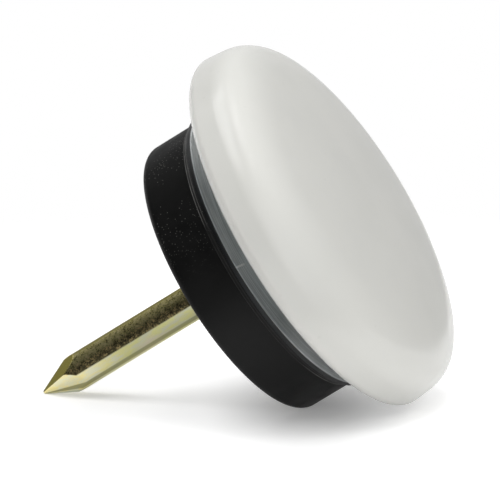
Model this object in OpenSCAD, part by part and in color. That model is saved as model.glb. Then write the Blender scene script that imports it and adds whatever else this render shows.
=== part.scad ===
// Nail-in furniture glide: a crowned nylon sole with the nail's head moulded into its hub,
// a thin steel disc on the hub, a rubber cushion on the disc, and a nail with a diamond point.
// The sole's lowest point is at the origin, and the nail points along +Z.

/* [Sole] */
// Largest diameter of the sole
sole_d = 30; // [26:0.5:36]
// Height of the sole from its lowest point to its flat back
sole_h = 6.1; // [5.8:0.1:7.5]
// Radius of the crowned face
crown_r = 68; // [60:1:120]
// Radius of the rounding between the face and the wall
front_round_r = 3.2; // [2.4:0.1:3.3]
// Radius of the rounding between the wall and the back
back_round_r = 0.8; // [0.5:0.1:1]
// Draft of the wall, in degrees, which narrows the sole towards its face
wall_draft = 6; // [2:0.5:10]

/* [Hub] */
// Diameter of the hub that carries the steel disc
hub_d = 13; // [10:0.5:16]
// Height of the hub above the sole's back
hub_h = 1.9; // [1.2:0.1:2.5]
// Radius of the fillet at the hub's foot
hub_fillet_r = 0.6; // [0.3:0.1:1]

/* [Steel disc] */
// Diameter of the steel disc
disc_d = 23.4; // [20:0.2:24]
// Thickness of the steel disc
disc_t = 0.4; // [0.4:0.1:1]
// Radius of the rolled edge on the disc's front
disc_edge_r = 0.3; // [0.1:0.05:0.35]
// Clearance round the nail in the disc's hole
disc_hole_gap = 0.2; // [0.1:0.05:0.4]

/* [Cushion] */
// Diameter of the cushion's wall
cushion_d = 22.7; // [20:0.1:22.8]
// Height of the cushion
cushion_h = 4.5; // [3:0.1:6]
// Radius of the rounding at the cushion's back edge
cushion_round_r = 0.6; // [0.3:0.1:1]
// Diameter of the flared front edge
flare_d = 23.2; // [22.8:0.1:24]
// Height of the flare
flare_h = 0.45; // [0.2:0.05:0.8]

/* [Nail] */
// Diameter of the shank
nail_d = 2.8; // [2.4:0.1:3.2]
// Length of the nail with its head
nail_length = 25; // [22:0.5:32]
// Diameter of the head
head_d = 6.5; // [5:0.1:8]
// Thickness of the head
head_t = 1; // [0.8:0.1:1.2]
// Nylon between the head and the top of the hub
head_cover = 1.6; // [1:0.1:2]
// Number of grip grooves round the held part of the shank
groove_count = 5; // [1:1:5]
// Distance from one grip groove to the next
groove_pitch = 1.25; // [1.1:0.05:1.25]
// Width of a grip groove
groove_w = 0.6; // [0.5:0.1:0.8]
// Depth of a grip groove
groove_depth = 0.2; // [0.16:0.02:0.3]
// Length of the point, from the start of its facets to the sharp end that they would meet in
point_l = 4.1; // [3.5:0.1:5]
// Width across the flats of the blunt tip
tip_w = 0.2; // [0.1:0.05:0.4]
// Turn of the facets about the nail, in degrees
facet_turn = 9; // [0:1:90]

/* [Hidden] */

$fn = 128;
// Smoothness of the crown, whose circle is far larger than the part
crown_fn = 360;

sole_r = sole_d / 2;
nail_r = nail_d / 2;

// Levels along the axis, from the sole's lowest point
hub_top = sole_h + hub_h;
disc_top = hub_top + disc_t;
cushion_top = disc_top + cushion_h;
head_top = hub_top - head_cover;
head_bottom = head_top - head_t;
tip_z = head_bottom + nail_length;

// The facets fall back to the shank's radius over point_l, and the tip is blunt where they are tip_w apart
facet_lean = atan(nail_r / point_l);
sharp_z = tip_z + tip_w / 2 / tan(facet_lean);

// Centre of the back rounding, and the point where the wall leaves it
back_c = [sole_r - back_round_r, sole_h - back_round_r];
wall_out = [cos(wall_draft), -sin(wall_draft)];
wall_dir = [-sin(wall_draft), -cos(wall_draft)];
wall_top = back_c + back_round_r * wall_out;

// Centre of the front rounding: front_round_r inside the wall, and touching the crown from inside.
// Going along the wall from `start`, the crown's centre is `away` from the path's start.
crown_c = [0, crown_r];
start = wall_top - front_round_r * wall_out;
away = start - crown_c;
run = -away * wall_dir + sqrt(pow(away * wall_dir, 2) - away * away + pow(crown_r - front_round_r, 2));
front_c = start + run * wall_dir;
wall_bottom = front_c + front_round_r * wall_out;
crown_end = crown_c + (front_c - crown_c) * crown_r / (crown_r - front_round_r);

// Half section of the sole's disc, in radius and height: crown, front rounding, drafted wall, back rounding
module sole_section() {
    intersection() {
        translate(crown_c) circle(r = crown_r, $fn = crown_fn);
        square([crown_end[0], front_c[1]]);
    }
    intersection() {
        translate(front_c) circle(r = front_round_r);
        square([sole_r, front_c[1]]);
    }
    translate(back_c) circle(r = back_round_r);
    polygon([[0, front_c[1]], front_c, wall_bottom, wall_top, back_c, [back_c[0], sole_h], [0, sole_h]]);
}

// Half section of the hub with the fillet at its foot, sunk a little into the disc below it
module hub_section() {
    sink = 1;
    foot_r = hub_d / 2 + hub_fillet_r;
    translate([0, sole_h - sink]) square([hub_d / 2, hub_h + sink]);
    difference() {
        translate([0, sole_h - sink]) square([foot_r, hub_fillet_r + sink]);
        translate([foot_r, sole_h + hub_fillet_r]) circle(r = hub_fillet_r);
    }
}

// The round nail before its point is cut, with the grip grooves that start under the cushion's back
module nail_blank() {
    translate([0, 0, head_bottom]) cylinder(d = head_d, h = head_t);
    difference() {
        translate([0, 0, head_bottom]) cylinder(d = nail_d, h = nail_length);
        for (i = [0 : groove_count - 1])
            translate([0, 0, cushion_top - groove_w - i * groove_pitch]) grip_groove();
    }
}

// One square groove round the shank
module grip_groove() {
    difference() {
        cylinder(d = nail_d + 1, h = groove_w);
        cylinder(d = nail_d - 2 * groove_depth, h = groove_w);
    }
}

// The nylon fills the groove that lies in the hub and closes round the nail's head
module sole() {
    color([0.87, 0.87, 0.84])
    difference() {
        rotate_extrude() {
            sole_section();
            hub_section();
        }
        nail_blank();
    }
}

// Flat disc with a rolled front edge and a hole that clears the nail
module backing_disc() {
    hole_r = nail_r + disc_hole_gap;
    edge_x = disc_d / 2 - disc_edge_r;
    color([0.62, 0.64, 0.67])
    translate([0, 0, hub_top])
    rotate_extrude() {
        translate([hole_r, 0]) square([edge_x - hole_r, disc_t]);
        translate([hole_r, disc_edge_r]) square([disc_d / 2 - hole_r, disc_t - disc_edge_r]);
        intersection() {
            translate([edge_x, disc_edge_r]) circle(r = disc_edge_r);
            square([disc_d, disc_t]);
        }
    }
}

// Rubber ring that bridges the grip grooves, flared at the disc and rounded at its back edge
module cushion() {
    wall_r = cushion_d / 2;
    round_x = wall_r - cushion_round_r;
    round_y = cushion_h - cushion_round_r;
    color([0.11, 0.11, 0.12])
    translate([0, 0, disc_top])
    rotate_extrude() {
        translate([nail_r, 0]) square([round_x - nail_r, cushion_h]);
        translate([nail_r, 0]) square([wall_r - nail_r, round_y]);
        translate([round_x, round_y]) circle(r = cushion_round_r);
        polygon([[nail_r, 0], [flare_d / 2, 0], [wall_r, flare_h], [nail_r, flare_h]]);
    }
}

// One cut of the diamond point: everything outside a plane that leans in towards the sharp end
module facet_cut() {
    reach = 2 * point_l;
    translate([0, 0, sharp_z])
    rotate([0, -facet_lean, 0])
    translate([0, -reach / 2, -reach])
    cube([reach, reach, 2 * reach]);
}

module nail() {
    facets = 4;
    color([0.68, 0.64, 0.38])
    difference() {
        nail_blank();
        for (i = [0 : facets - 1]) rotate(facet_turn + i * 360 / facets) facet_cut();
    }
}

sole();
backing_disc();
cushion();
nail();
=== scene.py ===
"""A nail-in furniture glide: nylon sole, zinc-plated steel disc, rubber cushion and a yellow-passivated nail.

Each piece is a surface worked out with numpy and finished with its own procedural material.
Lengths are in metres. The glide's axis is Z, with the sole's lowest point at the origin.
"""
import math

import bpy
import numpy as np
from mathutils import Matrix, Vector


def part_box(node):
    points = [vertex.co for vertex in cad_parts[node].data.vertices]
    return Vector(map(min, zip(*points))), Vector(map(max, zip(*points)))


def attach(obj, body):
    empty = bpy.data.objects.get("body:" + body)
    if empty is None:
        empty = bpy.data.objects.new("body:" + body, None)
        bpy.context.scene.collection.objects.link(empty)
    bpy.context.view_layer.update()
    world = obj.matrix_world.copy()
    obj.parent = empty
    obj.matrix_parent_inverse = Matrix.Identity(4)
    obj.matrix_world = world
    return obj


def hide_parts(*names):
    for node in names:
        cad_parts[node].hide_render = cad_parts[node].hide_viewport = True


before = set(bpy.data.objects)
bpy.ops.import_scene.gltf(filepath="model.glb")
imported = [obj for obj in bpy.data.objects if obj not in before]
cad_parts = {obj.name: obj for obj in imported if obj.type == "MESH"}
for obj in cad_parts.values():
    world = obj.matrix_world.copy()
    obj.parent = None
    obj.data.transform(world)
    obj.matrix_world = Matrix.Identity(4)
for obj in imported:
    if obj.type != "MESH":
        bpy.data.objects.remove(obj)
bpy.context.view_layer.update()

MM = 0.001

# ---------------------------------------------------------------- sizes

SOLE_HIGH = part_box("sole")[1]
DISC_LOW, DISC_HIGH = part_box("backing_disc")
CUSHION_LOW, CUSHION_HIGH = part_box("cushion")
NAIL_LOW, NAIL_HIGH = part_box("nail")

SOLE_R = 14.994 * MM
SOLE_BACK = 6.1 * MM
CROWN_R = 68.0 * MM
FRONT_ROUND = 3.2 * MM
BACK_ROUND = 0.8 * MM
DRAFT = math.radians(6.0)
HUB_R = 6.5 * MM
HUB_FILLET = 0.6 * MM
HUB_TOP = float(SOLE_HIGH[2])
# The crown turns gently into the front rounding: how wide that turn is spread, and how far its effect goes
CROWN_SOFT = 1.1 * MM
CROWN_SPREAD = 4.2 * MM

DISC_R = float(DISC_HIGH[0])
DISC_FRONT, DISC_BACK = float(DISC_LOW[2]), float(DISC_HIGH[2])
DISC_EDGE = 0.15 * MM
DISC_BACK_EDGE = 0.03 * MM
DISC_HOLE = 1.6 * MM

WALL_R = 11.35 * MM
FLARE_R = 11.6 * MM
FLARE_H = 0.45 * MM
FLARE_LIP = 0.06 * MM
CUSHION_FRONT, CUSHION_BACK = float(CUSHION_LOW[2]), float(CUSHION_HIGH[2])
CUSHION_ROUND = 0.6 * MM

SHANK_R = 1.4 * MM
HEAD_R = 3.25 * MM
HEAD_T = 1.0 * MM
HEAD_FRONT, HEAD_BACK = float(NAIL_LOW[2]), float(NAIL_LOW[2]) + HEAD_T
TIP = float(NAIL_HIGH[2])
POINT_L = 4.1 * MM
TIP_HALF = 0.1 * MM
TIP_ROUND = 0.2 * MM
FACET_TURN = math.radians(9.0)
GROOVE_COUNT = 5
GROOVE_PITCH = 1.25 * MM
GROOVE_W = 0.6 * MM
GROOVE_DEPTH = 0.2 * MM


# ---------------------------------------------------------------- surfaces

def arc(centre, radius, start, end, steps):
    """Points (r, z) on a circle in the half section, from start to end degrees.

    Each is centre + radius * (cos a, sin a).
    """
    a = np.radians(np.linspace(start, end, steps))
    return np.stack([centre[0] + radius * np.cos(a), centre[1] + radius * np.sin(a)], axis=1)


def straight(p, q, steps):
    """Evenly spaced points (r, z) from p to q."""
    t = np.linspace(0.0, 1.0, steps)[:, None]
    return np.asarray(p) * (1 - t) + np.asarray(q) * t


def join_runs(*runs):
    """The runs of points one after another, without the points that two runs share."""
    path = np.concatenate(runs)
    keep = np.ones(len(path), bool)
    keep[1:] = np.linalg.norm(np.diff(path, axis=0), axis=1) > 1e-8
    return path[keep]


def put_mesh(name, grid, closed=False):
    """A mesh from a grid of points [along the section, round the axis, xyz], which closes round the axis.

    Each cell of the grid is one quad. If closed is true, the section's last row joins its first. If not, the
    first and last rows are poles, and each becomes one point with a fan of triangles.
    """
    rows, turns = grid.shape[:2]
    k = np.arange(turns)
    n = np.roll(k, -1)
    if closed:
        verts = grid.reshape(-1, 3)
        a = (np.arange(rows) * turns)[:, None]
        b = np.roll(a, -1, axis=0)
        fans = np.zeros((0, 3), int)
    else:
        verts = np.concatenate([grid[0, :1], grid[1:-1].reshape(-1, 3), grid[-1, :1]])
        a = (1 + np.arange(rows - 3) * turns)[:, None]
        b = a + turns
        last = len(verts) - 1
        first_ring, last_ring = 1, 1 + (rows - 3) * turns
        fans = np.concatenate([
            np.stack([np.zeros_like(k), first_ring + n, first_ring + k], axis=1),
            np.stack([np.full_like(k, last), last_ring + k, last_ring + n], axis=1),
        ])
    quads = np.stack([a + k, a + n, b + n, b + k], axis=-1).reshape(-1, 4)
    mesh = bpy.data.meshes.new(name)
    mesh.from_pydata(verts.tolist(), [], quads.tolist() + fans.tolist())
    mesh.polygons.foreach_set("use_smooth", np.ones(len(mesh.polygons), bool))
    mesh.set_sharp_from_angle(angle=math.radians(40.0))
    mesh.validate()
    mesh.update()
    piece = bpy.data.objects.new(name, mesh)
    bpy.context.scene.collection.objects.link(piece)
    return piece


def round_axis(radius, z, turns):
    """The grid of points (radius cos t, radius sin t, z) for evenly spaced t round the axis."""
    t = np.linspace(0.0, 2 * np.pi, turns, endpoint=False)
    return np.stack([radius * np.cos(t), radius * np.sin(t), np.broadcast_to(z, (len(z), turns))], axis=-1)


def revolve(section, turns):
    """The grid of a surface of revolution: each (r, z) of the section is carried round the axis."""
    return round_axis(section[:, 0][:, None], section[:, 1][:, None], turns)


def soften(path, reach, at, spread):
    """The path with its turns spread: each point goes to the mean of points around it, weighted by a bell.

    The bell's width along the path is reach at the point number `at`. Away from there it is reach times
    (1 - (distance / spread) squared) squared, and nothing beyond spread.
    """
    s = np.concatenate([[0.0], np.cumsum(np.linalg.norm(np.diff(path, axis=0), axis=1))])
    width = reach * np.maximum(1.0 - ((s - s[at]) / spread) ** 2, 0.0) ** 2
    u = np.linspace(-2.5, 2.5, 21)
    bell = np.exp(-0.5 * u * u)
    places = s[:, None] + width[:, None] * u
    return np.stack([(np.interp(places, s, path[:, k]) * bell).sum(1) / bell.sum() for k in (0, 1)], axis=1)


def groove_levels():
    """The low and the high end of each grip groove along the nail, up to the one at the cushion's back."""
    tops = CUSHION_BACK - GROOVE_PITCH * np.arange(GROOVE_COUNT)[::-1]
    return [(float(top) - GROOVE_W, float(top)) for top in tops]


def groove_steps(low, high):
    """The square step of one grip groove in the half section, from its low end to its high end."""
    floor_r = SHANK_R - GROOVE_DEPTH
    return np.array([(SHANK_R, low), (floor_r, low), (floor_r, high), (SHANK_R, high)])


def sole_section():
    """Half section of the sole, from the crown's pole to the middle of the cavity that holds the nail's head.

    The crown is an arc about a centre on the axis. The front rounding touches the crown from inside, and it
    touches the drafted wall. The back rounding touches the wall and the flat back. A small fillet stands at
    the hub's foot.
    """
    back_c = np.array([SOLE_R - BACK_ROUND, SOLE_BACK - BACK_ROUND])
    out = np.array([math.cos(DRAFT), -math.sin(DRAFT)])
    along = np.array([-math.sin(DRAFT), -math.cos(DRAFT)])
    wall_top = back_c + BACK_ROUND * out
    start = wall_top - FRONT_ROUND * out
    away = start - np.array([0.0, CROWN_R])
    run = -away @ along + math.sqrt((away @ along) ** 2 - away @ away + (CROWN_R - FRONT_ROUND) ** 2)
    front_c = start + run * along
    wall_bottom = front_c + FRONT_ROUND * out
    crown_end = math.degrees(math.atan2(front_c[1] - CROWN_R, front_c[0]))
    draft = math.degrees(DRAFT)
    hub_foot = np.array([HUB_R + HUB_FILLET, SOLE_BACK + HUB_FILLET])
    # The nylon fills the grip groove that lies inside the hub
    filled = [groove_steps(low, high)[::-1] for low, high in groove_levels() if high < HUB_TOP]
    crown = arc((0.0, CROWN_R), CROWN_R, -90, crown_end, 100)
    front = join_runs(crown, arc(front_c, FRONT_ROUND, crown_end, -draft, 50))
    return join_runs(
        soften(front, CROWN_SOFT, len(crown) - 1, CROWN_SPREAD),
        straight(wall_bottom, wall_top, 12),
        arc(back_c, BACK_ROUND, -draft, 90, 24),
        straight((back_c[0], SOLE_BACK), (hub_foot[0], SOLE_BACK), 14),
        arc(hub_foot, HUB_FILLET, 270, 180, 10),
        straight((HUB_R, hub_foot[1]), (HUB_R, HUB_TOP), 4),
        straight((HUB_R, HUB_TOP), (SHANK_R, HUB_TOP), 6),
        *filled,
        straight((SHANK_R, HEAD_BACK), (HEAD_R, HEAD_BACK), 3),
        straight((HEAD_R, HEAD_BACK), (HEAD_R, HEAD_FRONT), 3),
        straight((HEAD_R, HEAD_FRONT), (0.0, HEAD_FRONT), 4),
    )


def disc_section():
    """Closed half section of the steel disc: flat front, edge that rolls to the cushion, flat back, hole."""
    edge = (DISC_R - DISC_EDGE, DISC_FRONT + DISC_EDGE)
    back_edge = (DISC_R - DISC_BACK_EDGE, DISC_BACK - DISC_BACK_EDGE)
    return join_runs(
        straight((DISC_HOLE, DISC_FRONT), (edge[0], DISC_FRONT), 30),
        arc(edge, DISC_EDGE, -90, 0, 20),
        straight((DISC_R, edge[1]), (DISC_R, back_edge[1]), 3),
        arc(back_edge, DISC_BACK_EDGE, 0, 90, 4),
        straight((back_edge[0], DISC_BACK), (DISC_HOLE, DISC_BACK), 8),
        straight((DISC_HOLE, DISC_BACK), (DISC_HOLE, DISC_FRONT), 3)[:-1],
    )


def cushion_section():
    """Closed half section of the cushion: flat front, flared lip, wall, rounded back edge, back, bore."""
    lip_at = (FLARE_R - FLARE_LIP, CUSHION_FRONT + FLARE_LIP)
    back = (WALL_R - CUSHION_ROUND, CUSHION_BACK - CUSHION_ROUND)
    flare_end = CUSHION_FRONT + FLARE_H
    return join_runs(
        straight((SHANK_R, CUSHION_FRONT), (lip_at[0], CUSHION_FRONT), 12),
        arc(lip_at, FLARE_LIP, -90, 0, 6),
        straight((FLARE_R, lip_at[1]), (WALL_R + 0.02 * MM, flare_end - 0.04 * MM), 8),
        arc((WALL_R, flare_end), 0.035 * MM, -60, 80, 8),
        straight((WALL_R, flare_end + 0.05 * MM), (WALL_R, back[1]), 24),
        arc(back, CUSHION_ROUND, 0, 90, 20),
        straight((back[0], CUSHION_BACK), (SHANK_R, CUSHION_BACK), 14),
        straight((SHANK_R, CUSHION_BACK), (SHANK_R, CUSHION_FRONT), 6)[:-1],
    )


def nail_section():
    """Half section of the nail before its point is cut: head, shank with its grip grooves, and a flat end."""
    return join_runs(
        straight((0.0, HEAD_FRONT), (HEAD_R, HEAD_FRONT), 4),
        straight((HEAD_R, HEAD_FRONT), (HEAD_R, HEAD_BACK), 4),
        straight((HEAD_R, HEAD_BACK), (SHANK_R, HEAD_BACK), 4),
        *(groove_steps(low, high) for low, high in groove_levels()),
        straight((SHANK_R, CUSHION_BACK), (SHANK_R, TIP - POINT_L), 40),
        straight((SHANK_R, TIP - POINT_L), (SHANK_R, TIP), 160),
        straight((SHANK_R, TIP), (0.0, TIP), 2),
    )


def nail_grid(turns):
    """The nail's section turned round the axis and cut by four planes that lean in to a blunt diamond point.

    At height z each plane stands d off the axis, and d falls evenly over the point's length. Round the axis
    the plane is at d / cos(angle from the plane's own direction), and the nail's radius is the lesser of the
    section's and that. At the very end it is at least the radius of a small ball, which rounds the tip.
    """
    section = nail_section()
    r, z = section[:, 0][:, None], section[:, 1][:, None]
    fall = SHANK_R / POINT_L
    sharp = TIP + TIP_HALF / fall
    t = np.linspace(0.0, 2 * np.pi, turns, endpoint=False)
    from_facet = (t - FACET_TURN + np.pi / 4) % (np.pi / 2) - np.pi / 4
    plane = (sharp - z) * fall / np.cos(from_facet)
    ball = np.sqrt(np.maximum(TIP_ROUND ** 2 - (z - TIP + TIP_ROUND) ** 2, 0.0)) * (z > TIP - TIP_ROUND)
    return round_axis(np.minimum(r, np.maximum(plane, ball)), z, turns)


# ---------------------------------------------------------------- materials

class Net:
    """A short way to place and join shader nodes in one tree."""

    def __init__(self, tree):
        self.tree = tree

    def put(self, kind, settings=None, **inputs):
        """Add a node, set its properties, and fill its sockets, by name or by place, with values or sockets.

        Fine_Scale is the socket named Fine Scale, and i0 is the first socket.
        """
        node = self.tree.nodes.new(kind)
        for key, value in (settings or {}).items():
            setattr(node, key, value)
        for key, value in inputs.items():
            by_place = key[0] == "i" and key[1:].isdigit()
            socket = node.inputs[int(key[1:])] if by_place else node.inputs[key.replace("_", " ")]
            if isinstance(value, bpy.types.NodeSocket):
                self.tree.links.new(value, socket)
            else:
                socket.default_value = value
        return node

    def math(self, operation, a, b=0.0, c=0.0):
        """One Math node's result."""
        return self.put("ShaderNodeMath", {"operation": operation}, i0=a, i1=b, i2=c).outputs[0]

    # The Math nodes that are used most, by everyday names

    def plus(self, a, b):
        return self.math("ADD", a, b)

    def less(self, a, b):
        return self.math("SUBTRACT", a, b)

    def times(self, a, b):
        return self.math("MULTIPLY", a, b)

    def most(self, a, b):
        return self.math("MAXIMUM", a, b)

    def size_of(self, a):
        return self.math("ABSOLUTE", a)

    def blend(self, factor, a, b):
        """Colour a turned into colour b by factor."""
        node = self.tree.nodes.new("ShaderNodeMix")
        node.data_type = "RGBA"
        self.tree.links.new(factor, node.inputs[0])
        for socket, value in ((node.inputs[6], a), (node.inputs[7], b)):
            if isinstance(value, bpy.types.NodeSocket):
                self.tree.links.new(value, socket)
            else:
                socket.default_value = (*value, 1.0)
        return node.outputs[2]

    def between(self, value, low, high, to_low=0.0, to_high=1.0):
        """Value taken smoothly from low..high to to_low..to_high, and held there outside it."""
        node = self.put("ShaderNodeMapRange", {"interpolation_type": "SMOOTHSTEP"},
                        i0=value, i1=low, i2=high, i3=to_low, i4=to_high)
        return node.outputs[0]

    def noise(self, where, scale, detail, rough=0.5):
        """A Noise texture's value."""
        node = self.put("ShaderNodeTexNoise", Vector=where, Scale=scale, Detail=detail, Roughness=rough)
        return node.outputs["Fac"]

    def bump(self, strength, distance, height):
        """The normal that a height gives."""
        node = self.put("ShaderNodeBump", Strength=strength, Distance=distance, Height=height)
        return node.outputs["Normal"]

    def object_place(self):
        """The point in the piece's own coordinates."""
        return self.put("ShaderNodeTexCoord").outputs["Object"]

    def along_axis(self, place, share):
        """The place with its Z scaled by share, so that a pattern on it is drawn out along the axis."""
        node = self.put("ShaderNodeMapping", Vector=place)
        node.inputs["Scale"].default_value = (1.0, 1.0, share)
        return node.outputs[0]


def new_material(name):
    """A material with an empty tree, its Net and its output node."""
    material = bpy.data.materials.new(name)
    material.use_nodes = True
    material.node_tree.nodes.clear()
    net = Net(material.node_tree)
    return material, net, net.put("ShaderNodeOutputMaterial")


def finish_material(net, out, shader):
    net.tree.links.new(shader, out.inputs["Surface"])


def new_group(name, inputs, outputs):
    """A shader node group with named sockets, each given as (name, kind, default), and a Net on it."""
    tree = bpy.data.node_groups.new(name, "ShaderNodeTree")
    for direction, sockets in (("INPUT", inputs), ("OUTPUT", outputs)):
        for label, kind, default in sockets:
            socket = tree.interface.new_socket(name=label, in_out=direction, socket_type=kind)
            if default is not None:
                socket.default_value = default
    net = Net(tree)
    return tree, net, net.put("NodeGroupInput"), net.put("NodeGroupOutput")


def grain_group():
    """Grain: a fine and a coarse noise, mixed into one height, and the coarse one alone as a mask."""
    tree, net, entry, leave = new_group(
        "grain",
        (("Vector", "NodeSocketVector", None), ("Fine Scale", "NodeSocketFloat", 3000.0),
         ("Coarse Scale", "NodeSocketFloat", 400.0), ("Coarse Share", "NodeSocketFloat", 0.3)),
        (("Height", "NodeSocketFloat", None), ("Mask", "NodeSocketFloat", None)),
    )
    where, fine_scale, coarse_scale, share = (entry.outputs[i] for i in range(4))
    fine = net.noise(where, fine_scale, 3.0, 0.6)
    coarse = net.noise(where, coarse_scale, 3.0)
    both = net.plus(net.times(fine, net.less(1.0, share)), net.times(coarse, share))
    net.tree.links.new(both, leave.inputs[0])
    net.tree.links.new(net.between(coarse, 0.32, 0.68), leave.inputs[1])
    return tree


def dust_group():
    """Dust: small round specks in some cells of a Voronoi pattern, thicker where a slow noise is high."""
    tree, net, entry, leave = new_group(
        "dust",
        (("Vector", "NodeSocketVector", None), ("Scale", "NodeSocketFloat", 3000.0),
         ("Amount", "NodeSocketFloat", 0.5)),
        (("Mask", "NodeSocketFloat", None),),
    )
    where, scale, amount = (entry.outputs[i] for i in range(3))
    cells = net.put("ShaderNodeTexVoronoi", Vector=where, Scale=scale, Randomness=1.0)
    spot = net.between(cells.outputs["Distance"], 0.24, 0.10)
    drift = net.noise(where, 260.0, 1.0)
    pick = net.put("ShaderNodeSeparateColor", i0=cells.outputs["Color"]).outputs[0]
    here = net.math("LESS_THAN", pick, net.times(amount, net.between(drift, 0.35, 0.75)))
    net.tree.links.new(net.times(spot, here), leave.inputs[0])
    return tree


GRAIN = grain_group()
DUST = dust_group()


def grain(net, where, fine_scale, coarse_scale, share):
    """The grain group placed in a material: its height and its mask."""
    node = net.put("ShaderNodeGroup", {"node_tree": GRAIN}, Vector=where,
                   Fine_Scale=fine_scale, Coarse_Scale=coarse_scale, Coarse_Share=share)
    return node.outputs["Height"], node.outputs["Mask"]


def dust(net, where, scale, amount):
    """The dust group placed in a material: its mask."""
    node = net.put("ShaderNodeGroup", {"node_tree": DUST}, Vector=where, Scale=scale, Amount=amount)
    return node.outputs["Mask"]


class RoundAxis:
    """A point's x, y and z, its distance from the glide's axis, and masks by its direction round the axis."""

    def __init__(self, net, place):
        self.net = net
        self.x, self.y, self.z = net.put("ShaderNodeSeparateXYZ", i0=place).outputs
        self.radius = net.math("SQRT", net.plus(net.times(self.x, self.x), net.times(self.y, self.y)))

    def side(self, degrees, low, high):
        """From 0 to 1 as the direction comes near to the given one: their cosine goes from low to high."""
        net = self.net
        a = math.radians(degrees)
        along = net.plus(net.times(self.x, math.cos(a)), net.times(self.y, math.sin(a)))
        return net.between(net.math("DIVIDE", along, net.most(self.radius, 1e-6)), low, high)

    def off_line(self, degrees):
        """The distance from the line that leaves the axis in the given direction."""
        net = self.net
        a = math.radians(degrees)
        return net.size_of(net.less(net.times(self.x, math.sin(a)), net.times(self.y, math.cos(a))))


def nylon():
    """White moulded nylon: a warm translucent white, satin, with faint clouding and a very fine grain."""
    material, net, out = new_material("sole_nylon")
    place = net.object_place()
    height, cloud = grain(net, place, 2400.0, 130.0, 0.35)
    speck = dust(net, place, 1500.0, 0.10)
    colour = net.blend(cloud, (0.745, 0.745, 0.710), (0.762, 0.760, 0.724))
    colour = net.blend(net.times(speck, 0.10), colour, (0.50, 0.49, 0.46))
    rough = net.between(cloud, 0.0, 1.0, 0.20, 0.235)
    bump = net.bump(0.06, 0.02 * MM, height)
    shader = net.put("ShaderNodeBsdfPrincipled", Base_Color=colour, Roughness=rough, Normal=bump)
    shader.inputs["IOR"].default_value = 1.5
    shader.inputs["Subsurface Weight"].default_value = 0.5
    shader.inputs["Subsurface Radius"].default_value = (1.0, 1.0, 1.0)
    shader.inputs["Subsurface Scale"].default_value = 1.2 * MM
    finish_material(net, out, shader.outputs[0])
    return material


def zinc_disc():
    """Zinc on turned steel: fine rings about the axis, blue-grey, faint stains, painted light on two sides.

    One small radial nick crosses the face's rim. Behind a thin bright line, the edge's wall has a painted
    shadow.
    """
    material, net, out = new_material("disc_zinc")
    place = net.object_place()
    at = RoundAxis(net, place)
    ring_place = net.plus(net.times(at.radius, 7000.0), net.times(net.noise(place, 300.0, 1.0), 1.6))
    turned = net.put("ShaderNodeCombineXYZ", i0=ring_place, i1=net.times(at.x, 160.0),
                     i2=net.times(at.y, 160.0))
    rings = net.noise(turned.outputs[0], 1.0, 3.0, 0.65)
    height, stain = grain(net, place, 5000.0, 380.0, 0.2)
    colour = net.blend(net.between(rings, 0.38, 0.62), (0.52, 0.56, 0.59), (0.84, 0.88, 0.91))
    colour = net.blend(net.times(stain, 0.25), colour, (0.44, 0.46, 0.47))
    # Painted light: the two ends of the face's visible arc, where the gap to the sole opens out, are paler
    painted_light_ends = net.most(at.side(122.0, 0.70, 0.95), net.times(at.side(-24.0, 0.78, 0.95), 0.7))
    colour = net.blend(net.times(painted_light_ends, 0.4), colour, (0.90, 0.91, 0.91))
    nick_side = 41.0
    nick = net.between(at.off_line(nick_side), 0.11 * MM, 0.04 * MM)
    nick = net.times(nick, at.side(nick_side, 0.9, 0.95))
    nick = net.times(nick, net.between(at.radius, DISC_R - 2.5 * MM, DISC_R - 1.3 * MM))
    colour = net.blend(nick, colour, (0.98, 0.99, 1.0))
    # Painted shadow: the edge's wall, where the disc meets the rubber, is nearly black
    wall = net.times(net.between(at.z, DISC_FRONT + 0.03 * MM, DISC_FRONT + 0.08 * MM),
                     net.between(at.radius, DISC_R - 0.20 * MM, DISC_R - 0.12 * MM))
    colour = net.blend(wall, colour, (0.030, 0.031, 0.032))
    # Painted light: those ends are also less metallic, so that they take more light
    metal = net.less(1.0, net.times(painted_light_ends, 0.80))
    rough = net.between(stain, 0.0, 1.0, 0.42, 0.52)
    relief = net.less(net.plus(rings, net.times(height, 0.3)), net.times(nick, 3.0))
    bump = net.bump(0.35, 0.012 * MM, relief)
    shader = net.put("ShaderNodeBsdfPrincipled", Base_Color=colour, Metallic=metal, Roughness=rough,
                     Normal=bump)
    finish_material(net, out, shader.outputs[0])
    return material


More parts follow.
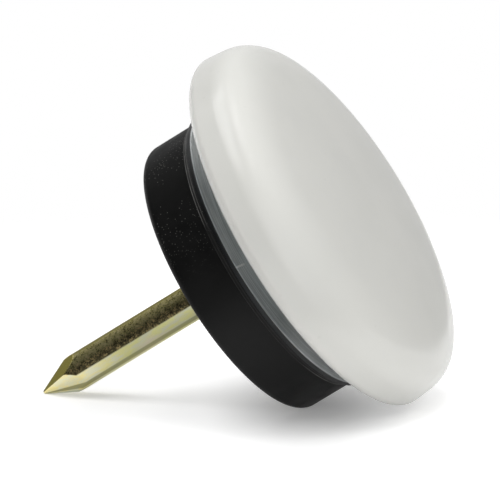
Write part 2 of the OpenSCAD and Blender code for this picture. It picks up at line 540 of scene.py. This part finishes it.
def rubber():
    """Black rubber: a soft sheen, fine pores, pale dust on one side, and two painted highlights at the flare.

    One line is where the flare meets the wall, and a fainter one runs round the flare's middle.
    """
    material, net, out = new_material("cushion_rubber")
    place = net.object_place()
    at = RoundAxis(net, place)
    pores, cloud = grain(net, place, 3200.0, 500.0, 0.35)
    specks = net.times(dust(net, place, 5200.0, 1.4), at.side(118.0, 0.2, 0.9))
    colour = net.blend(cloud, (0.0018, 0.0019, 0.0018), (0.0034, 0.0035, 0.0034))
    # Painted reflection: one side of the cushion is lighter, where it mirrors the lit bench below
    colour = net.blend(at.side(-6.0, 0.72, 0.97), colour, (0.0115, 0.0115, 0.0115))
    colour = net.blend(net.times(specks, 0.9), colour, (0.15, 0.15, 0.14))
    # Painted highlights: two pale lines round the flare, one where it meets the wall and a fainter one round
    # its middle
    foot = net.between(net.size_of(net.less(at.z, CUSHION_FRONT + FLARE_H)), 0.055 * MM, 0.02 * MM)
    middle = net.between(net.size_of(net.less(at.z, CUSHION_FRONT + 0.2 * MM)), 0.045 * MM, 0.015 * MM)
    line = net.most(foot, net.times(middle, 0.7))
    line = net.times(line, net.between(at.radius, WALL_R - 0.15 * MM, WALL_R - 0.05 * MM))
    # The painted highlights fade on one side, and vary unevenly all round
    line = net.times(line, net.less(1.0, net.times(at.side(26.0, 0.72, 0.87), 0.85)))
    line = net.times(line, net.between(net.noise(place, 900.0, 2.0), 0.25, 0.6, 0.45, 1.0))
    colour = net.blend(line, colour, (0.13, 0.13, 0.125))
    rough = net.between(cloud, 0.0, 1.0, 0.50, 0.60)
    bump = net.bump(0.25, 0.015 * MM, pores)
    shader = net.put("ShaderNodeBsdfPrincipled", Base_Color=colour, Roughness=rough, Normal=bump)
    shader.inputs["Specular IOR Level"].default_value = 0.12
    finish_material(net, out, shader.outputs[0])
    return material


def yellow_zinc():
    """Yellow-passivated zinc: a thin film between straw, grey-green and pink, paler towards the point.

    One side is a painted reflection of the dark studio: olive in its middle, deepening to brown at its edges
    and, as painted shade, where a lamp would be mirrored. Gold flecks, painted glints on its pits, and dark
    spots mottle it; they stop at the point's facets, of which one is painted dark. Along the other side run a
    painted olive line and a pale grey fringe, painted reflections of the bench in the shank's shadow and of
    the lit bench beyond.
    """
    material, net, out = new_material("nail_yellow_zinc")
    place = net.object_place()
    at = RoundAxis(net, place)
    drawn = net.along_axis(place, 0.30)
    film = net.between(net.noise(drawn, 2300.0, 4.0, 0.62), 0.40, 0.60)
    pink = net.between(net.noise(drawn, 900.0, 3.0), 0.54, 0.66)
    bright = net.blend(film, (0.43, 0.43, 0.30), (0.47, 0.46, 0.21))
    bright = net.blend(pink, bright, (0.47, 0.425, 0.31))
    paler = net.blend(film, (0.78, 0.76, 0.55), (0.84, 0.75, 0.38))
    bright = net.blend(net.between(at.z, TIP - 9.0 * MM, TIP - 2.0 * MM), bright, paler)
    streaks = net.noise(net.along_axis(place, 0.12), 5200.0, 2.0)
    height = grain(net, place, 9500.0, 3000.0, 0.40)[0]
    # The facets lie inside the shank's radius
    facets = net.times(net.between(at.z, TIP - POINT_L - 0.3 * MM, TIP - POINT_L - 0.1 * MM),
                       net.between(at.radius, SHANK_R - 0.01 * MM, SHANK_R - 0.04 * MM))
    # Painted reflection: round 80 degrees, the shank and one facet of the point take a dark olive-brown
    # colour for the dark studio that they mirror
    dark = net.plus(net.times(net.less(1.0, facets), at.side(80.0, 0.63, 0.70)),
                    net.times(facets, at.side(99.0, 0.70, 0.72)))
    # Painted light and shade on that side: lighter olive round its middle, and a painted shade of deep brown
    # where a lamp would be mirrored
    olive = at.side(83.0, 0.87, 0.99)
    deep = at.side(20.0, 0.82, 0.91)
    base = net.blend(deep, net.blend(olive, (0.20, 0.18, 0.085), (0.78, 0.71, 0.31)), (0.060, 0.053, 0.027))
    fleck = net.blend(deep, net.blend(olive, (0.66, 0.51, 0.24), (1.0, 0.90, 0.52)), (0.22, 0.17, 0.08))
    spot = net.blend(deep, net.blend(olive, (0.05, 0.042, 0.02), (0.26, 0.22, 0.095)), (0.018, 0.015, 0.008))
    mottled = net.less(1.0, net.most(facets, at.side(118.0, 0.935, 0.985)))
    painted_dark_side = net.blend(facets, base, (0.125, 0.115, 0.043))
    # Gold flecks, painted glints on the pits, and dark spots mottle the painted side
    painted_dark_side = net.blend(net.times(net.between(height, 0.50, 0.60), mottled), painted_dark_side, fleck)
    painted_dark_side = net.blend(net.times(net.between(height, 0.48, 0.40), mottled), painted_dark_side, spot)
    colour = net.blend(dark, bright, painted_dark_side)
    # Painted reflections along the other side: an olive line for the bench in the shank's shadow, and a pale
    # grey fringe at the edge for the lit bench beyond
    colour = net.blend(net.times(at.side(-15.0, 0.981, 0.992), 0.75), colour, (0.22, 0.22, 0.11))
    colour = net.blend(at.side(-46.0, 0.94, 0.97), colour, (0.52, 0.54, 0.44))
    rough = net.between(dark, 0.0, 1.0, 0.16, 0.30)
    relief = net.plus(net.times(height, net.math("MULTIPLY_ADD", dark, 0.6, 0.02)), net.times(streaks, 0.08))
    bump = net.bump(0.8, 0.04 * MM, relief)
    shader = net.put("ShaderNodeBsdfPrincipled", Base_Color=colour, Metallic=1.0, Roughness=rough,
                     Normal=bump)
    shader.inputs["Specular Tint"].default_value = (0.80, 0.75, 0.48, 1)
    finish_material(net, out, shader.outputs[0])
    return material


# ---------------------------------------------------------------- pieces

def place_piece(piece, node, material):
    """The piece takes over from its CAD node, with its finish, and goes with the body."""
    piece.data.materials.append(material)
    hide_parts(node)
    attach(piece, "root")


place_piece(put_mesh("sole_nylon", revolve(sole_section(), 420)), "sole", nylon())
place_piece(put_mesh("disc_steel", revolve(disc_section(), 360), closed=True), "backing_disc", zinc_disc())
place_piece(put_mesh("cushion_rubber", revolve(cushion_section(), 420), closed=True), "cushion", rubber())
place_piece(put_mesh("nail_steel", nail_grid(180)), "nail", yellow_zinc())

# ---------------------------------------------------------------- bench, floor, light and camera

# The glide lies on a leaning bench board, which touches the nail's tip and the cushion's rounded back edge
AXIS = np.array([0.0, 0.0, 1.0])
LOW_SIDE = np.array([math.cos(math.radians(-50.0)), math.sin(math.radians(-50.0)), 0.0])
EDGE_AT = np.array([WALL_R - CUSHION_ROUND, CUSHION_BACK - CUSHION_ROUND])
TO_EDGE = EDGE_AT - np.array([TIP_HALF, TIP])
LEAN = math.atan2(TO_EDGE[0], -TO_EDGE[1]) + math.asin(CUSHION_ROUND / np.linalg.norm(TO_EDGE))
BENCH_UP = -math.cos(LEAN) * LOW_SIDE - math.sin(LEAN) * AXIS
BENCH_AT = TIP_HALF * LOW_SIDE + TIP * AXIS

# The camera's direction of view, and two directions along the bench: to its right, and towards the camera
LOOK = np.array([-0.74203, -0.58978, 0.31866])
LOOK /= np.linalg.norm(LOOK)
SIDE = np.cross(LOOK, BENCH_UP)
SIDE /= np.linalg.norm(SIDE)
NEAR = np.cross(SIDE, BENCH_UP)

# The middle of the bench is under the middle of the glide's length, and the cushion touches it TOUCH_X aside
BENCH_MID = 0.5 * TIP * AXIS
BENCH_MID = BENCH_MID - ((BENCH_MID - BENCH_AT) @ BENCH_UP) * BENCH_UP
TOUCH_X = float((EDGE_AT[0] * LOW_SIDE + EDGE_AT[1] * AXIS - BENCH_MID) @ SIDE)


def frame_matrix(x, y, z, at):
    """A placing whose local axes are x, y and z, and whose origin is at."""
    m = Matrix.Identity(4)
    for column, v in enumerate((x, y, z, at)):
        m.col[column][:3] = [float(c) for c in v]
    return m


def put_camera():
    """A long lens that looks along LOOK at a point inside the glide, rolled so that `right` is level."""
    aim = np.array([1.767, 2.793, 9.285]) * MM
    distance = 501.7 * MM
    right = np.array([0.11157, -0.57739, -0.80881])
    right -= LOOK * (LOOK @ right)
    right /= np.linalg.norm(right)
    camera = bpy.data.objects.new("camera", bpy.data.cameras.new("camera"))
    camera.matrix_world = frame_matrix(right, np.cross(right, LOOK), -LOOK, aim - distance * LOOK)
    camera.data.sensor_width = 36.0
    camera.data.lens = 483.6
    camera.data.clip_start = 0.01
    camera.data.clip_end = 10.0
    bpy.context.scene.collection.objects.link(camera)
    bpy.context.scene.camera = camera


put_camera()


def bench_material():
    """White board. A share of its white is its own, so that it meets the background without an edge.

    That share is least beside the place where the cushion touches the board, and grows to the left and right
    of it, which paints the glide's shadow lighter there. Bounced light gets little of it. The board is clear
    from behind, and clear far from the glide, nearer for reflections and bounced light than for the camera.
    """
    material, net, out = new_material("bench_white")
    place = net.object_place()
    # The board's own X runs to the right, and its own Y away from the camera
    x, y = net.put("ShaderNodeSeparateXYZ", i0=place).outputs[:2]
    away = net.put("ShaderNodeVectorMath", {"operation": "LENGTH"}, i0=place).outputs["Value"]
    behind = net.put("ShaderNodeNewGeometry").outputs["Backfacing"]
    path = net.put("ShaderNodeLightPath").outputs
    camera_ray = path["Is Camera Ray"]
    cut = net.most(net.between(net.times(y, -1.0), 22 * MM, 32 * MM), net.between(away, 250 * MM, 380 * MM))
    far = net.plus(net.times(camera_ray, net.between(away, 60 * MM, 100 * MM)),
                   net.times(net.less(1.0, camera_ray), cut))
    board_shader = net.put("ShaderNodeBsdfDiffuse", Color=(0.86, 0.86, 0.86, 1)).outputs[0]
    from_touch = net.less(x, TOUCH_X)
    aside = net.size_of(from_touch)
    # Painted light: the board's own glow grows to the sides of the touch, so that the shadow there is lighter
    own_share = net.less(net.between(aside, 0.5 * MM, 8.5 * MM, 0.21, 0.45),
                         net.between(aside, 11.0 * MM, 17.0 * MM, 0.0, 0.17))
    ray_share = net.most(net.most(camera_ray, path["Is Glossy Ray"]), net.times(path["Is Diffuse Ray"], 0.06))
    # To the right, where it meets the floor under the upright glide, the board is as white as the floor
    meeting = net.times(net.between(from_touch, 9.5 * MM, 13.5 * MM), camera_ray)
    glow = net.most(net.times(own_share, ray_share), meeting)
    own = net.put("ShaderNodeEmission", Color=(1, 1, 1, 1), Strength=glow).outputs[0]
    seen = net.put("ShaderNodeAddShader", i0=board_shader, i1=own).outputs[0]
    clear = net.put("ShaderNodeBsdfTransparent").outputs[0]
    gone = net.most(behind, far)
    finish_material(net, out, net.put("ShaderNodeMixShader", i0=gone, i1=seen, i2=clear).outputs[0])
    return material


def floor_material():
    """White floor under the upright glide: its own white, and a soft shadow that fades out round the sole."""
    material, net, out = new_material("floor_white")
    radius = RoundAxis(net, net.object_place()).radius
    shaded = net.blend(net.between(radius, 9.0 * MM, 21.0 * MM), (0.42, 0.42, 0.43), (1.0, 1.0, 1.0))
    own = net.put("ShaderNodeEmission", Color=shaded, Strength=1.0).outputs[0]
    clear = net.put("ShaderNodeBsdfTransparent").outputs[0]
    behind = net.put("ShaderNodeNewGeometry").outputs["Backfacing"]
    camera_ray = net.put("ShaderNodeLightPath").outputs["Is Camera Ray"]
    gone = net.most(behind, net.less(1.0, camera_ray))
    finish_material(net, out, net.put("ShaderNodeMixShader", i0=gone, i1=own, i2=clear).outputs[0])
    return material


def board(name, up, across, at, half, material):
    """A square board as a stage piece: its middle at `at`, its face along up."""
    corners = np.array([[-1, -1, 0], [1, -1, 0], [1, 1, 0], [-1, 1, 0]], float) * half
    mesh = bpy.data.meshes.new(name)
    mesh.from_pydata(corners.tolist(), [], [[0, 1, 2, 3]])
    mesh.materials.append(material)
    stage = bpy.data.objects.new(name, mesh)
    stage.matrix_world = frame_matrix(across, np.cross(up, across), up, at)
    bpy.context.scene.collection.objects.link(stage)
    return stage


board("bench", BENCH_UP, SIDE, BENCH_MID, 0.4, bench_material())
floor = board("floor", AXIS, np.array([1.0, 0.0, 0.0]), np.zeros(3), 0.5, floor_material())
floor.visible_shadow = False
floor.visible_diffuse = False
floor.visible_glossy = False


def softbox(name, right, front, wide, long, turn, radiance):
    """A rectangular lamp over the bench, which the camera itself doesn't see.

    Its middle and its sides are shares of its height over the bench. Turn swings its long side, in degrees,
    from the line towards the camera to the left.
    """
    height = 0.6
    swing = math.radians(turn)
    across = math.cos(swing) * SIDE - math.sin(swing) * NEAR
    light = bpy.data.lights.new(name, "AREA")
    light.shape = "RECTANGLE"
    light.size, light.size_y = wide * height, long * height
    light.energy = math.pi * radiance * light.size * light.size_y
    lamp = bpy.data.objects.new(name, light)
    at = BENCH_MID + height * (BENCH_UP + right * SIDE + front * NEAR)
    lamp.matrix_world = frame_matrix(across, np.cross(BENCH_UP, across), BENCH_UP, at)
    lamp.visible_camera = False
    bpy.context.scene.collection.objects.link(lamp)


softbox("left_panel", -0.50, 0.10, 0.50, 1.20, 0, 2.60)
softbox("bar_wide", 0.08, 0.04, 0.50, 1.15, 34, 0.40)
softbox("bar_core", 0.10, 0.08, 0.34, 0.95, 34, 0.40)
softbox("bar_bright", 0.08, 0.01, 0.24, 0.54, 20, 4.3)

# Azimuth, elevation and strength of each soft panel of the studio, and the faint light between them
PANELS = (
    (180, -12, 0.45), (-135, -12, 2.35), (0, -12, 1.70), (45, -12, 0.22), (90, -12, 0.11), (135, -12, 0.08),
    (180, 20, 0.50), (0, 20, 1.30), (45, 20, 0.70), (90, 20, 0.18),
    (180, 50, 0.38), (0, 50, 0.17), (60, 50, 0.38), (120, 50, 0.61), (90, 80, 0.75),
)
DIM = 0.01


def heading(azimuth, elevation):
    """A direction over the bench: azimuth 0 is towards the camera and 90 to the right, both in degrees."""
    az, el = math.radians(azimuth), math.radians(elevation)
    return math.cos(el) * (math.cos(az) * NEAR + math.sin(az) * SIDE) + math.sin(el) * BENCH_UP


def studio_world():
    """Soft panels all round, each a lobe: its strength times the tenth power of the cosine from its middle.

    The camera sees plain white instead.
    """
    world = bpy.data.worlds.new("studio")
    world.use_nodes = True
    world.node_tree.nodes.clear()
    net = Net(world.node_tree)
    towards = net.put("ShaderNodeTexCoord").outputs["Generated"]
    glow = DIM
    for azimuth, elevation, strength in PANELS:
        middle = tuple(float(c) for c in heading(azimuth, elevation))
        near = net.put("ShaderNodeVectorMath", {"operation": "DOT_PRODUCT"}, i0=towards, i1=middle)
        lobe = net.math("POWER", net.most(near.outputs["Value"], 0.0), 10.0)
        glow = net.math("MULTIPLY_ADD", lobe, strength, glow)
    camera_ray = net.put("ShaderNodeLightPath").outputs["Is Camera Ray"]
    strength = net.plus(camera_ray, net.times(net.less(1.0, camera_ray), glow))
    background = net.put("ShaderNodeBackground", Color=(1, 1, 1, 1), Strength=strength)
    net.put("ShaderNodeOutputWorld", Surface=background.outputs[0])
    bpy.context.scene.world = world


studio_world()

bpy.context.scene.view_settings.view_transform = "Standard"
